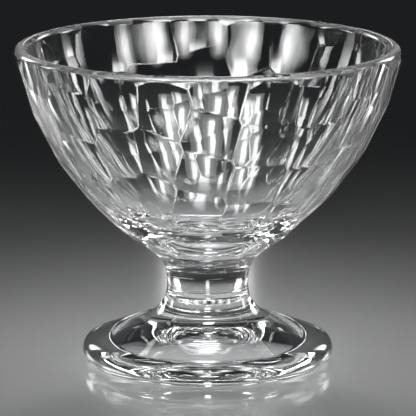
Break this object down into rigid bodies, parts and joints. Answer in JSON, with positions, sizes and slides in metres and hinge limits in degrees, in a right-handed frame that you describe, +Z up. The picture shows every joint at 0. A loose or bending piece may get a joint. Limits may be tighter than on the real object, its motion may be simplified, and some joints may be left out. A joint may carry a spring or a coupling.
{
  "type": "footed ice cream bowl",
  "caption": "Clear pressed-glass ice cream bowl: faceted round bowl with a rounded lip, on a short waisted stem and a broad round foot with a hollow underside.",
  "frame": {"origin": "middle of the foot's underside, on the table", "axes": "+Z up along the axis that the bowl, stem and foot are turned about; +Y away from the viewer of the picture"},
  "size_m": [0.115, 0.1148, 0.0962],
  "materials": {
    "bowl": "clear, fire-polished, with flat facets",
    "stem": "clear, fire-polished",
    "foot": "clear, fire-polished"
  },
  "bodies": {
    "root": {"bowl": "bowl", "stem": "stem", "foot": "foot"}
  },
  "joints": []
}
